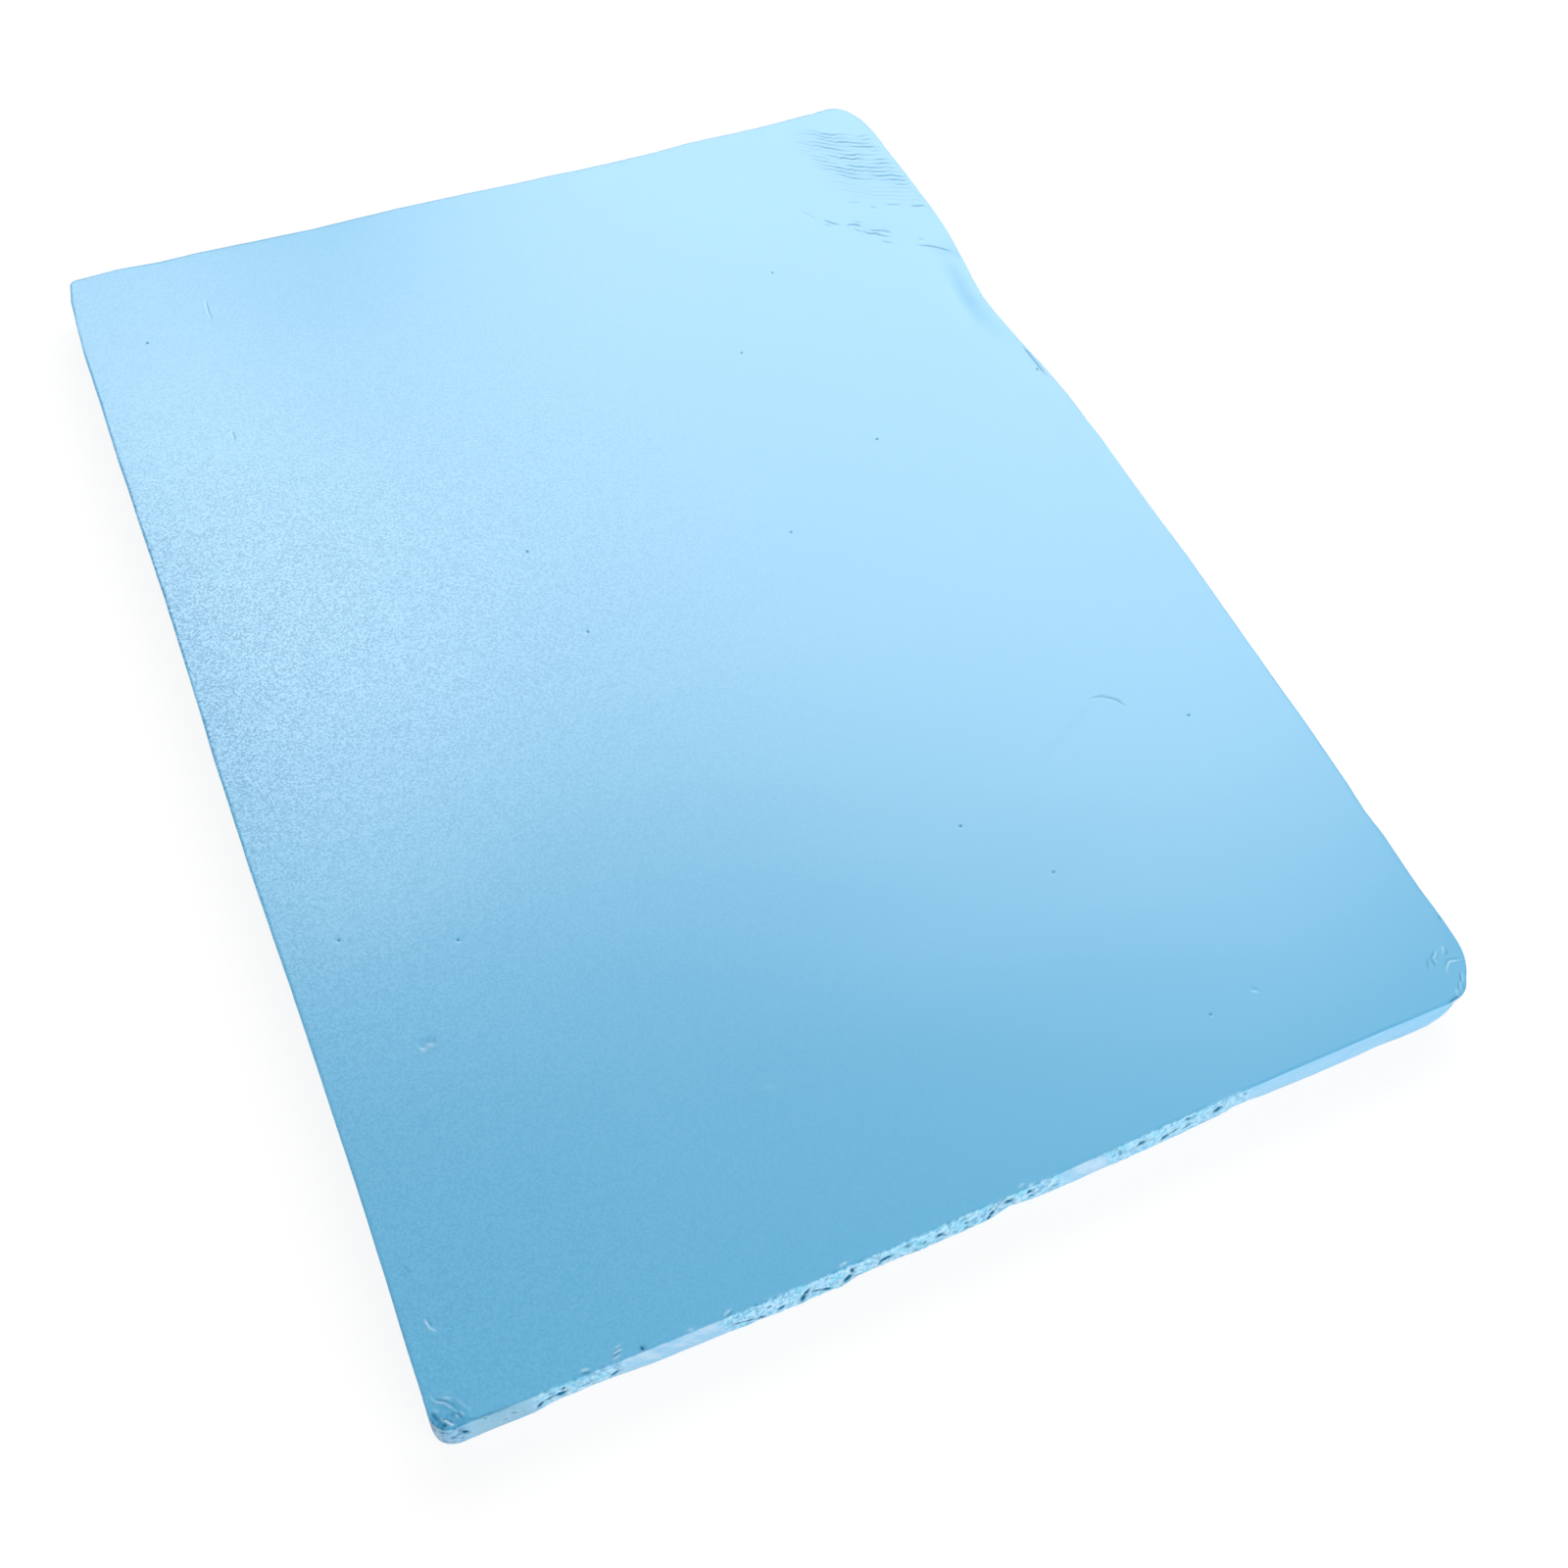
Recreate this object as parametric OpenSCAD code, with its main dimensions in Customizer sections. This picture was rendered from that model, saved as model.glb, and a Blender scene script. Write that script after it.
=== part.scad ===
// Foam block: one thin moulded sheet of soft blue foam with a smooth skin.
// It lies on its flat base. Its outline is slightly wavy and its edges are crisp.
// The back right corner is curled up and wrinkled behind a crease, and the
// front face is torn open in places.
// Origin: middle of the base. X points right, Y to the back, Z up. Millimetres.

/* [Sheet] */
// Overall width of the sheet, left to right
sheet_w = 300; // [220:5:450]
// Overall length of the sheet, front to back
sheet_l = 405; // [300:5:600]
// Thickness of the sheet
sheet_t = 15; // [12:0.5:30]

/* [Edges] */
// Radius of the round along the top edge
top_round = 1; // [0.5:0.25:3]
// Radius of the round along the bottom edge
base_round = 1; // [0.5:0.25:3]

/* [Corners] */
// Radius of the front left corner, seen from above
corner_fl = 5; // [3:1:20]
// Radius of the front right corner, seen from above
corner_fr = 16; // [3:1:20]
// Radius of the back right corner, seen from above
corner_br = 12; // [3:1:20]
// Radius of the back left corner, seen from above
corner_bl = 4; // [3:1:20]

/* [Wavy outline] */
// Depth of the dip in the right edge
dip_depth = 4; // [0:0.5:8]
// Distance from the back edge to the middle of the dip
dip_from_back = 112; // [100:2:140]
// Distance from the middle of the dip to either end of it
dip_reach = 64; // [30:2:70]
// How far the top rolls down at the edge of the dip
dip_roll = 1.5; // [0:0.5:4]
// How far the right edge draws in towards its front corner
front_right_taper = 1.5; // [0:0.5:6]
// How far the right edge draws in towards its back corner
back_right_taper = 5; // [0:0.5:8]
// How far the left edge draws in towards its back corner
back_left_taper = 2.5; // [0:0.5:6]
// How far the left edge bellies out in its middle
left_belly = 0.4; // [0:0.2:4]
// How far the front edge bows out in its left half
front_bow = 1.8; // [0:0.2:4]

/* [Curled corner] */
// Distance from the back right corner to the crease
curl_reach = 68; // [50:1:80]
// How far the tip of the corner is curled up off the table
curl_lift = 2.5; // [0:0.5:10]
// Depth of the crease behind which the corner curls
crease_depth = 0.6; // [0:0.1:1.5]
// Number of wrinkles between the crease and the corner
fold_count = 12; // [4:1:14]
// Height of the wrinkles, from valley to ridge
fold_height = 0.4; // [0:0.1:1.2]

/* [Torn front face] */
// How deep the tears go into the front face
tear_depth = 3; // [1:0.5:6]
// Height of the tallest tear
tear_height = 6; // [3:0.5:8]
// Depth of the hole torn out under the skin of the front right corner
corner_tear_depth = 4; // [1:0.5:6]
// Height of that hole
corner_tear_height = 12; // [6:0.5:12]

/* [Marks in the top] */
// Depth of the pressed dents
dent_depth = 0.5; // [0.3:0.1:2]
// Depth of the cuts made by a nail or a blade
nick_depth = 0.5; // [0.3:0.1:2]

/* [Hidden] */

half_w = sheet_w / 2;
half_l = sheet_l / 2;
widest_corner = max(corner_fl, corner_fr, corner_br, corner_bl);

// The crease runs across the corner at this angle below the X axis
crease_angle = 39;
// Unit vector across the crease, towards the corner
crease_normal = [sin(crease_angle), cos(crease_angle)];

// ---------- small helpers ----------
function mix(a, b, t) = a + (b - a) * t;
function clamp01(t) = min(1, max(0, t));
// Rises smoothly from 0 at a to 1 at b
function ramp(t, a, b) = let (u = clamp01((t - a) / (b - a))) u * u * (3 - 2 * u);
// A smooth hump of height 1 at the middle, which is nothing beyond the reach
function hump(t, middle, reach) = let (u = abs(t - middle) / reach) u < 1 ? pow(cos(90 * u), 2) : 0;
function spread(a, b, count) = [for (k = [0 : count - 1]) mix(a, b, k / (count - 1))];

// ---------- the plain sheet: a rectangle with four round corners ----------
function corner_radius(p) =
    p.y < 0 ? (p.x < 0 ? corner_fl : corner_fr) : (p.x < 0 ? corner_bl : corner_br);

// The part of a point that lies inside its corner's square, in corner radii
function in_corner(p) =
    let (r = corner_radius(p)) [(abs(p.x) - half_w + r) / r, (abs(p.y) - half_l + r) / r];

// Moves the points of a rectangle so that its corners become round
function round_corner(p) =
    let (r = corner_radius(p), c = in_corner(p))
    c.x <= 0 || c.y <= 0 ? p : [
        sign(p.x) * (half_w - r + r * c.x * sqrt(1 - c.y * c.y / 2)),
        sign(p.y) * (half_l - r + r * c.y * sqrt(1 - c.x * c.x / 2))
    ];

// Outward direction of the outline at the point of it nearest to p
function outward(p) =
    let (c = in_corner(p))
    c.x > 0 && c.y > 0 ? [sign(p.x) * c.x, sign(p.y) * c.y] / norm(c)
    : half_w - abs(p.x) < half_l - abs(p.y) ? [sign(p.x), 0]
    : [0, sign(p.y)];

// Distance from p to the outline
function depth_in(p) =
    let (r = corner_radius(p), c = in_corner(p))
    c.x > 0 && c.y > 0 ? r * (1 - norm(c)) : min(half_w - abs(p.x), half_l - abs(p.y));

// A point of the top skin: flat, then half way round the top edge
function top_point(p) =
    let (
        q = round_corner(p),
        turn = 45 * (1 - clamp01(depth_in(q) / top_round)),
        inset = turn > 0 ? top_round * (1 - sin(turn)) - depth_in(q) : 0,
        xy = q - outward(q) * inset
    )
    [xy.x, xy.y, sheet_t - top_round * (1 - cos(turn))];

// The rest of the side wall as [inset, height], down to the base
wall = concat(
    [for (turn = [67.5, 90]) [top_round * (1 - sin(turn)), sheet_t - top_round * (1 - cos(turn))]],
    [for (turn = [0 : 45 : 90]) base_round * [1 - cos(turn), 1 - sin(turn)]]
);

// ---------- how the real sheet departs from the plain one ----------
dip_y = half_l - dip_from_back;

// Each edge's distance inside the plain outline, along the edge
function right_in(y) =
    dip_depth * hump(y, dip_y, dip_reach)
    + front_right_taper * ramp(-y, 0.3 * half_l, 0.8 * half_l)
    + back_right_taper * ramp(y, 0.6 * half_l, half_l);
function left_in(y) =
    back_left_taper * ramp(y, 0.8 * half_l, half_l)
    + left_belly * (1 - hump(y, 0, half_l));
function front_in(x) = front_bow * (1 - hump(x, -half_w / 3, half_w));

// How much of an edge's own wave a point follows, from its distance to that edge
follow_reach = 60;
function follow(distance) = 1 - ramp(distance, 0, follow_reach);

// Distance beyond the crease, towards the curled corner
function past_crease(x, y) =
    curl_reach - ([half_w, half_l] - [x, y]) * crease_normal;
function lift(x, y) = curl_lift * pow(clamp01(past_crease(x, y) / curl_reach), 1.5);
roll_width = 14;
function roll(x, y) = dip_roll * hump(y, dip_y, dip_reach) * ramp(x, half_w - roll_width, half_w);

// Takes a point of the plain sheet to its place on the real one
function settle(p) = [
    p.x - right_in(p.y) * follow(half_w - p.x) + left_in(p.y) * follow(p.x + half_w),
    p.y + front_in(p.x) * follow(p.y + half_l),
    p.z + lift(p.x, p.y) - roll(p.x, p.y) * p.z / sheet_t
];

// ---------- where the columns and rows of the skin run ----------
// Near an edge they follow the round edge and the round corner
edge_steps = [0, 0.45 * top_round, top_round, (top_round + widest_corner) / 2, widest_corner + 1];
edge_zone = edge_steps[4];
edge_count = len(edge_steps);
function backwards(list) = [for (k = [len(list) - 1 : -1 : 0]) list[k]];

// On the open sheet they lie at about this distance from each other
open_gap = 14;
open_columns = 14;
open_rows = 21;

// The crease and the wrinkles start this far from the right edge
crease_len = 52;
fold_len = 32;
crease_x = half_w - crease_len;
fold_x = half_w - fold_len;
fold_gap = 3;
fold_columns = 5;

columns = concat(
    [for (d = edge_steps) d - half_w],
    spread(edge_zone - half_w + open_gap, crease_x - open_gap, open_columns),
    spread(crease_x, fold_x, fold_columns),
    spread(fold_x + fold_gap, half_w - edge_zone - fold_gap, fold_columns),
    [for (d = backwards(edge_steps)) half_w - d]
);

// Every row is a distance from the back edge. The rows fan out across three
// stations: where the crease starts, where the wrinkles start, the right edge.
stations = [crease_x, fold_x, half_w];
crease_at = [
    for (x = stations) (curl_reach - (half_w - x) * crease_normal.x) / crease_normal.y
];
// The rows that shape the crease, as distances from its valley, and their
// heights in crease depths
crease_rows = [5, 1.4, 0, -1.4, -5];
crease_profile = [0, 0.3, -1, 0.3, 0];
// First and last wrinkle, as shares of the way from the back edge to the crease
first_fold = [0.10, 0.19, 0.30];
last_fold = 0.69;
fold_rows = 2 * fold_count + 1;
// How far the wrinkles wave to either side
fold_wave = 0.6;

front_rows = [for (d = edge_steps) 2 * half_l - d];
front_open_row = 2 * half_l - edge_zone - open_gap;
back_rows = backwards(edge_steps);

// The rows of the first two stations run straight from the wrinkles to the edge
function rows_behind_folds(n) =
    n == 2 ? back_rows : spread(first_fold[n] * crease_at[n] - 1, 0, edge_count);
function station_rows(n) = concat(
    front_rows,
    spread(front_open_row, crease_at[n] + open_gap, open_rows),
    [for (d = crease_rows) crease_at[n] + d],
    spread(last_fold * crease_at[n], first_fold[n] * crease_at[n], fold_rows),
    rows_behind_folds(n)
);
rows_at = [for (n = [0 : 2]) station_rows(n)];

// At the left edge the same number of rows is spread evenly
rows_left = concat(
    front_rows,
    spread(front_open_row, edge_zone + open_gap / 2, len(rows_at[0]) - 2 * edge_count),
    back_rows
);
last_row = len(rows_left) - 1;
last_column = len(columns) - 1;
first_crease_row = edge_count + open_rows;
first_fold_row = first_crease_row + len(crease_rows);

// The wrinkles grow from their left ends and die out towards the right edge
fold_fade = 14;
function wrinkled(x) = ramp(x, fold_x - fold_fade, fold_x) * (1 - ramp(x, half_w - fold_fade, half_w));

// The wrinkles wave from side to side, and the rows behind them calm down again
function wave(j, x) =
    j < first_fold_row ? 0
    : fold_wave * wrinkled(x) * sin(40 * x + 22 * j) * min(1, (last_row - j) / edge_count);

// A row's distance from the back edge at x
function row_at(j, x) =
    x < crease_x ? mix(rows_left[j], rows_at[0][j], ramp(x, -half_w, crease_x))
    : x < fold_x ? mix(rows_at[0][j], rows_at[1][j], (x - crease_x) / (fold_x - crease_x))
    : mix(rows_at[1][j], rows_at[2][j], (x - fold_x) / fold_len) + wave(j, x);

// Wrinkles: every second row of their zone is a valley, and they come and go
function fold_z(i, j) =
    let (
        k = j - first_fold_row,
        x = columns[i],
        strength = wrinkled(x) * (0.65 + 0.35 * sin(140 * k + 9 * x))
    )
    k < 0 || k >= fold_rows ? 0 : fold_height * strength * (k % 2 == 0 ? -0.5 : 0.5);

// Crease: it starts at a point and gets deeper towards the right edge
function crease_z(i, j) =
    let (k = j - first_crease_row, x = columns[i])
    k < 0 || k >= len(crease_rows) || x <= crease_x ? 0
    : crease_depth * crease_profile[k] * mix(0.4, 1, ramp(x, crease_x, half_w));

function skin_point(i, j) =
    let (p = settle(top_point([columns[i], half_l - row_at(j, columns[i])])))
    [p.x, p.y, p.z + fold_z(i, j) + crease_z(i, j)];

// ---------- the sheet as one closed surface ----------
// The skin's border as [column, row], anticlockwise from the front left corner
border = concat(
    [for (i = [0 : last_column]) [i, 0]],
    [for (j = [1 : last_row]) [last_column, j]],
    [for (i = [last_column - 1 : -1 : 0]) [i, last_row]],
    [for (j = [last_row - 1 : -1 : 1]) [0, j]]
);
turns = len(border);
function border_plain(b) = round_corner([columns[b.x], half_l - row_at(b.y, columns[b.x])]);

function wall_point(b, level) =
    let (p = border_plain(b), q = p - outward(p) * wall[level].x)
    settle([q.x, q.y, wall[level].y]);

// Rings on the base, as shares of its outline: they keep it flat up to the
// curled corner
base_rings = [0.9, 0.8, 0.65];
function base_point(b, share) =
    let (p = border_plain(b), q = (p - outward(p) * base_round) * share)
    settle([q.x, q.y, 0]);

skin_points = [for (j = [0 : last_row]) for (i = [0 : last_column]) skin_point(i, j)];
wall_points = [for (level = [0 : len(wall) - 1]) for (b = border) wall_point(b, level)];
base_points = concat([for (share = base_rings) for (b = border) base_point(b, share)], [[0, 0, 0]]);

function skin_index(i, j) = j * (last_column + 1) + i;
wall_start = len(skin_points);
levels = len(wall) + len(base_rings);
function ring_index(level, k) =
    level < 0 ? skin_index(border[k % turns].x, border[k % turns].y)
    : wall_start + level * turns + k % turns;

skin_faces = [
    for (j = [0 : last_row - 1]) for (i = [0 : last_column - 1])
        each let (
            a = skin_index(i, j), b = skin_index(i + 1, j),
            c = skin_index(i + 1, j + 1), d = skin_index(i, j + 1)
        )
        [[a, d, c], [a, c, b]]
];
wall_faces = [
    for (level = [0 : levels - 1]) for (k = [0 : turns - 1])
        each let (
            a = ring_index(level - 1, k), b = ring_index(level - 1, k + 1),
            c = ring_index(level, k + 1), d = ring_index(level, k)
        )
        [[a, b, c], [a, c, d]]
];
base_middle = wall_start + levels * turns;
base_faces = [
    for (k = [0 : turns - 1]) [ring_index(levels - 1, k), ring_index(levels - 1, k + 1), base_middle]
];

module sheet() {
    polyhedron(
        points = concat(skin_points, wall_points, base_points),
        faces = concat(skin_faces, wall_faces, base_faces)
    );
}

// ---------- tears in the front face ----------
// Each as [place along the face from its middle, height of its middle, length,
// share of the tear height, lean in degrees]; the first two are shares of the
// half width and of the thickness. The long ones low down bite into the bottom
// edge.
tears = [
    [-0.954, 0.61, 5, 0.25, -72],
    [-0.820, 0.42, 9, 0.40, 52],
    [-0.750, 0.10, 22, 0.85, 0],
    [-0.713, 0.50, 5, 0.25, 72],
    [-0.485, 0.31, 11, 0.35, -32],
    [-0.425, 0.31, 5, 0.30, 60],
    [-0.385, 0.44, 9, 0.25, 82],
    [-0.352, 0.32, 8, 0.30, -42],
    [-0.305, 0.44, 11, 0.25, 83],
    [-0.242, 0.49, 4, 0.40, 30],
    [-0.225, 0.07, 15, 0.75, 0],
    [-0.137, 0.47, 6, 0.25, -58],
    [-0.041, 0.38, 7, 0.25, 86],
    [-0.013, 0.70, 4, 0.35, -48],
    [0.008, 0.20, 7, 1.00, 0],
    [0.027, 0.74, 3, 0.25, -60],
    [0.050, 0.36, 6, 0.30, -36],
    [0.205, 0.62, 8, 0.20, -72],
    [0.250, 0.61, 5, 0.30, -20],
    [0.310, 0.40, 6, 0.30, 48],
    [0.350, 0.42, 5, 0.30, 60],
    [0.408, 0.61, 4, 0.40, -55],
    [0.480, 0.10, 14, 0.85, 0]
];

// A ragged hole in a face that looks to the front. It narrows inwards, and
// starts a little before the face.
tear_start = 1;
module tear(length, height, depth, seed) {
    ragged = [for (a = [0 : 30 : 330])
        let (reach = 1 + 0.22 * sin(3 * a + 70 * seed) + 0.15 * cos(5 * a + 40 * seed))
        reach / 2 * [length * cos(a), height * sin(a)]
    ];
    translate([0, -tear_start, 0])
        rotate([-90, 0, 0])
            linear_extrude(height = tear_start + depth, scale = 0.4)
                polygon(ragged);
}

module torn_face() {
    for (k = [0 : len(tears) - 1])
        let (t = tears[k], x = t[0] * half_w)
            translate([x, front_in(x) - half_l, t[1] * sheet_t])
                rotate([0, -t[4], 0])
                    tear(t[2], t[3] * tear_height, tear_depth, k);
}

// The hole under the skin of the front right corner, which hangs over it
corner_tear_turn = 14;
corner_tear_len = 9;
module torn_corner() {
    translate([half_w - corner_fr, front_in(half_w) - half_l + corner_fr, 0])
        rotate([0, 0, corner_tear_turn])
            translate([0, -corner_fr, corner_tear_height / 2])
                tear(corner_tear_len, corner_tear_height, corner_tear_depth, 0);
}

// ---------- marks in the top ----------
// Cuts as [x, y, length, direction in degrees]; the places are shares of the
// half width and the half length
nicks = [
    [-0.72, 0.86, 10, 92],
    [-0.76, 0.56, 5, 90],
    [-0.96, -0.80, 4, 105],
    [-0.953, -0.877, 5, 100],
    [0.529, -0.411, 32, 27],
    [0.656, -0.393, 9, -48]
];
// Dents as [x, y, radius at the skin], placed the same way
dents = [
    [-0.813, -0.537, 4],
    [-0.307, -0.756, 3]
];

// A trench with a pointed floor
module nick(length) {
    side = nick_depth * sqrt(2);
    rotate([45, 0, 0]) cube([length, side, side], center = true);
}

// The ball that leaves a dent of this radius in the skin
module dent(radius) {
    ball = (radius * radius + dent_depth * dent_depth) / (2 * dent_depth);
    translate([0, 0, ball - dent_depth]) sphere(ball, $fn = 48);
}

module marks() {
    for (n = nicks)
        translate([n[0] * half_w, n[1] * half_l, sheet_t]) rotate([0, 0, n[3]]) nick(n[2]);
    for (d = dents)
        translate([d[0] * half_w, d[1] * half_l, sheet_t]) dent(d[2]);
}

module foam_block() {
    color([0.40, 0.69, 0.85])
        difference() {
            sheet();
            torn_face();
            torn_corner();
            marks();
        }
}

foam_block();
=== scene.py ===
# Looks of the foam block: the skin of the sheet as one fine mesh, its material, and a plain studio.
import math

import bpy
import numpy as np
from mathutils import Matrix, Vector


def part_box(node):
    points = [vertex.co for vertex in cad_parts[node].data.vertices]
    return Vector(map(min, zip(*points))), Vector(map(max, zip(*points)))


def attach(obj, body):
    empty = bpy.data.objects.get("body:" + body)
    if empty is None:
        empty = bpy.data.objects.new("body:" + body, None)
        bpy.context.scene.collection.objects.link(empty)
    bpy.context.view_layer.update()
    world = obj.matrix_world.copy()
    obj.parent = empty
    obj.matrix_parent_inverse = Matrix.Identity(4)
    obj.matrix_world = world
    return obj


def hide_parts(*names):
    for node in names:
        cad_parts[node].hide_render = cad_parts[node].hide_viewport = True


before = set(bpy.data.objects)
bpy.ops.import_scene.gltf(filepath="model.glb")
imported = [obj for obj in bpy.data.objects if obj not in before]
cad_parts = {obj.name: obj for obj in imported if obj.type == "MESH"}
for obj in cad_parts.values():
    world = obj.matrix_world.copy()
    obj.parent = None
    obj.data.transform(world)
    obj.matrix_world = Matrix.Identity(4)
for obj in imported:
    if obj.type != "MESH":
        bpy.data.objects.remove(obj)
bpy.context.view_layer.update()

# ---------- the sheet's sizes, in millimetres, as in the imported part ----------
MM = 0.001
_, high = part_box("foam_block")
HALF = np.array([high.x, high.y]) / MM
HALF_W, HALF_L = HALF
FRONT = -HALF_L
THICK = 15.0
TOP_ROUND, BASE_ROUND = 0.35, 1.0
CORNER_FL, CORNER_FR, CORNER_BR, CORNER_BL = 5.0, 16.0, 12.0, 2.8
# the dip in the right edge, and how far its top edge rolls down
DIP_DEPTH, DIP_FROM_BACK, DIP_REACH = 4, 112, 64
ROLL_DEPTH, ROLL_REACH = 1.5, 14
# how far the edges stand in towards the corners
RIGHT_TAPER, BACK_TAPER, LEFT_TAPER, LEFT_BELLY, FRONT_BOW = 1.5, 5, 2.5, 0.4, 1.8
# the curl of the back right corner, measured square to its crease
CURL_REACH, CURL_LIFT, CREASE_TURN = 68, 2.5, math.radians(39)
# how far in from the edges the skin follows their bends, and their small waves
BEND_REACH, WAVE_REACH = 60, 20
# how high up the front face its foot stands back
FOOT_HEIGHT = 9


# ---------- small helpers ----------
def ramp(t, a, b):
    """Rises smoothly from 0 at a to 1 at b."""
    u = np.clip((t - a) / (b - a), 0, 1)
    return u * u * (3 - 2 * u)


def hump(t, middle, reach):
    """1 at the middle, and nothing beyond the reach."""
    return np.cos(np.pi / 2 * np.clip(np.abs(t - middle) / reach, 0, 1)) ** 2


def bell(t, width):
    """1 at 0, and soon nothing beyond the width."""
    return np.exp(-(t / width) ** 2)


def hashed(cell, seed):
    """A repeatable random number from 0 to 1 for each integer cell."""
    i, j, k = cell.astype(np.int64).T
    h = (i * 73856093) ^ (j * 19349663) ^ (k * 83492791) ^ (seed * 2654435761)
    h &= 0xFFFFFFFF
    h = ((h ^ (h >> 15)) * 2246822519) & 0xFFFFFFFF
    h = ((h ^ (h >> 13)) * 3266489917) & 0xFFFFFFFF
    return ((h ^ (h >> 16)) & 0xFFFFFF) / 0xFFFFFF


def noise(p, size, seed):
    """Smooth noise from -1 to 1, with lumps of the given size along each axis."""
    q = p / np.asarray(size, float)
    cell = np.floor(q)
    f = q - cell
    f = f * f * (3 - 2 * f)
    total = 0
    for dx in (0, 1):
        for dy in (0, 1):
            for dz in (0, 1):
                corner = np.array([dx, dy, dz])
                weight = np.prod(np.where(corner, f, 1 - f), axis=1)
                total = total + weight * hashed(cell + corner, seed)
    return 2 * total - 1


def fbm(p, size, seed, octaves=3):
    """Noise with finer and weaker noise on top."""
    size = np.asarray(size, float)
    return sum(noise(p, size / 2 ** o, seed + o) / 2 ** o for o in range(octaves))


def ridged(p, size, seed, octaves=3):
    """Noise with sharp ridges at 1 and round valleys near 0."""
    size = np.asarray(size, float)
    weights = [0.5 ** o for o in range(octaves)]
    return sum(
        w * (1 - np.abs(noise(p, size / 2 ** o, seed + o))) for o, w in enumerate(weights)
    ) / sum(weights)


def to_line(xy, points):
    """Distance to a bent line, the side of it, and the share of its length reached."""
    points = np.asarray(points, float)
    best = np.full(len(xy), np.inf)
    side = np.zeros(len(xy))
    share = np.zeros(len(xy))
    lengths = np.linalg.norm(np.diff(points, axis=0), axis=1)
    done = 0
    for a, b, length in zip(points[:-1], points[1:], lengths):
        along = (b - a) / length
        t = np.clip((xy - a) @ along, 0, length)
        offset = xy - a - t[:, None] * along
        d = np.linalg.norm(offset, axis=1)
        nearer = d < best
        best[nearer] = d[nearer]
        side[nearer] = np.sign(along[0] * offset[:, 1] - along[1] * offset[:, 0])[nearer]
        share[nearer] = ((done + t) / lengths.sum())[nearer]
        done += length
    return best, side, share


def fade_ends(share, steep, least=0.0):
    """Fades a line out towards both of its ends."""
    return np.clip(steep * np.minimum(share, 1 - share), least, 1)


# ---------- the plain sheet: a rectangle with round corners and round edges ----------
def corner_of(p):
    """Radius of each point's corner, and how far into the corner's square the point lies."""
    r = np.where(
        p[:, 1] < 0,
        np.where(p[:, 0] < 0, CORNER_FL, CORNER_FR),
        np.where(p[:, 0] < 0, CORNER_BL, CORNER_BR),
    )
    c = (np.abs(p) - HALF + r[:, None]) / r[:, None]
    return r, c, (c > 0).all(axis=1)


def round_corner(p):
    """Bends the square corners of the lattice round."""
    r, c, inside = corner_of(p)
    bent = HALF - r[:, None] + r[:, None] * c * np.sqrt(1 - np.clip(c[:, ::-1], 0, 1) ** 2 / 2)
    return np.where(inside[:, None], np.sign(p) * bent, p)


def outward_and_depth(q):
    """Direction out of the outline nearest to q, and the distance to it."""
    r, c, inside = corner_of(q)
    gap = HALF - np.abs(q)
    length = np.linalg.norm(c, axis=1)
    to_side = gap[:, 0] < gap[:, 1]
    straight = np.stack([to_side, ~to_side], axis=1)
    out = np.where(inside[:, None], c / np.maximum(length, 1e-9)[:, None], straight)
    depth = np.where(inside, r * (1 - length), gap.min(axis=1))
    return np.sign(q) * out, depth


# Small waves of three edges: [place along the edge, distance further out]
LEFT_WAVE = [
    (-195, 0.0), (-178, -0.1), (-159, -0.5), (-139, -0.7), (-110, -0.8), (-81, -0.7), (-42, -0.3),
    (-3, -0.4), (17, -0.8), (55, -1.1), (95, -0.8), (114, -0.6), (145, -0.7), (172, -0.6),
    (192, 0.3), (200, -0.6),
]
RIGHT_WAVE = [
    (-188, -0.9), (-180, -0.6), (-168, -0.8), (-149, -0.2), (-140, -0.7), (-130, -0.3),
    (-112, -0.1), (-90, -0.5), (-75, -0.6), (-55, -0.4), (-38, -0.2), (-20, -0.6), (-1, -0.7),
    (17, -0.6), (25, -1.0), (45, -0.8), (55, -0.6), (73, -0.6), (92, -1.0), (110, 0.0),
    (120, 0.1), (130, -0.4), (147, -1.1), (158, -0.7), (175, -0.2), (184, 0.0), (190, -0.8),
    (195, -1.5), (202, -0.8),
]
BACK_WAVE = [
    (-148, -1.0), (-132, -0.2), (-118, -1.1), (-104, -0.8), (-80, -1.4), (-62, -1.7), (-34, -0.7),
    (-6, -1.0), (8, -1.4), (22, -1.4), (36, -1.8), (64, -1.7), (77, -1.0), (91, -1.4), (105, -2.0),
    (133, -1.6), (145, -1.0),
]
# The foot of the front face: [x, distance that its bottom edge stands back]
FOOT = [
    (-150, 0.3), (-141, 0.15), (-128, 0.1), (-125, 0.35), (-121, 0.75), (-113, 1.0), (-106, 0.75),
    (-97, 0.25), (-85, 0.15), (-70, 0.0), (-58, -0.1), (-50, 0.0), (-47.5, -0.3), (-44.5, 0.4),
    (-41, 0.65), (-33, 0.6), (-27, 0.35), (-19, 0.2), (-8, 0.2), (-4, 0.4), (-1.5, 1.0),
    (1, 1.4), (4, 1.0), (7, 0.6), (13, 0.4), (22, 0.2), (40, 0.1), (52, 0.05), (62, 0.2),
    (67, 0.5), (70, 0.95), (74, 0.85), (79, 0.5), (90, 0.3), (110, 0.25), (118, 0.4), (126, 0.2),
    (134, 0.35),
]


def knots(t, table):
    """Reads a table of [place, value] at t."""
    return np.interp(t, [k[0] for k in table], [k[1] for k in table])


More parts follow.
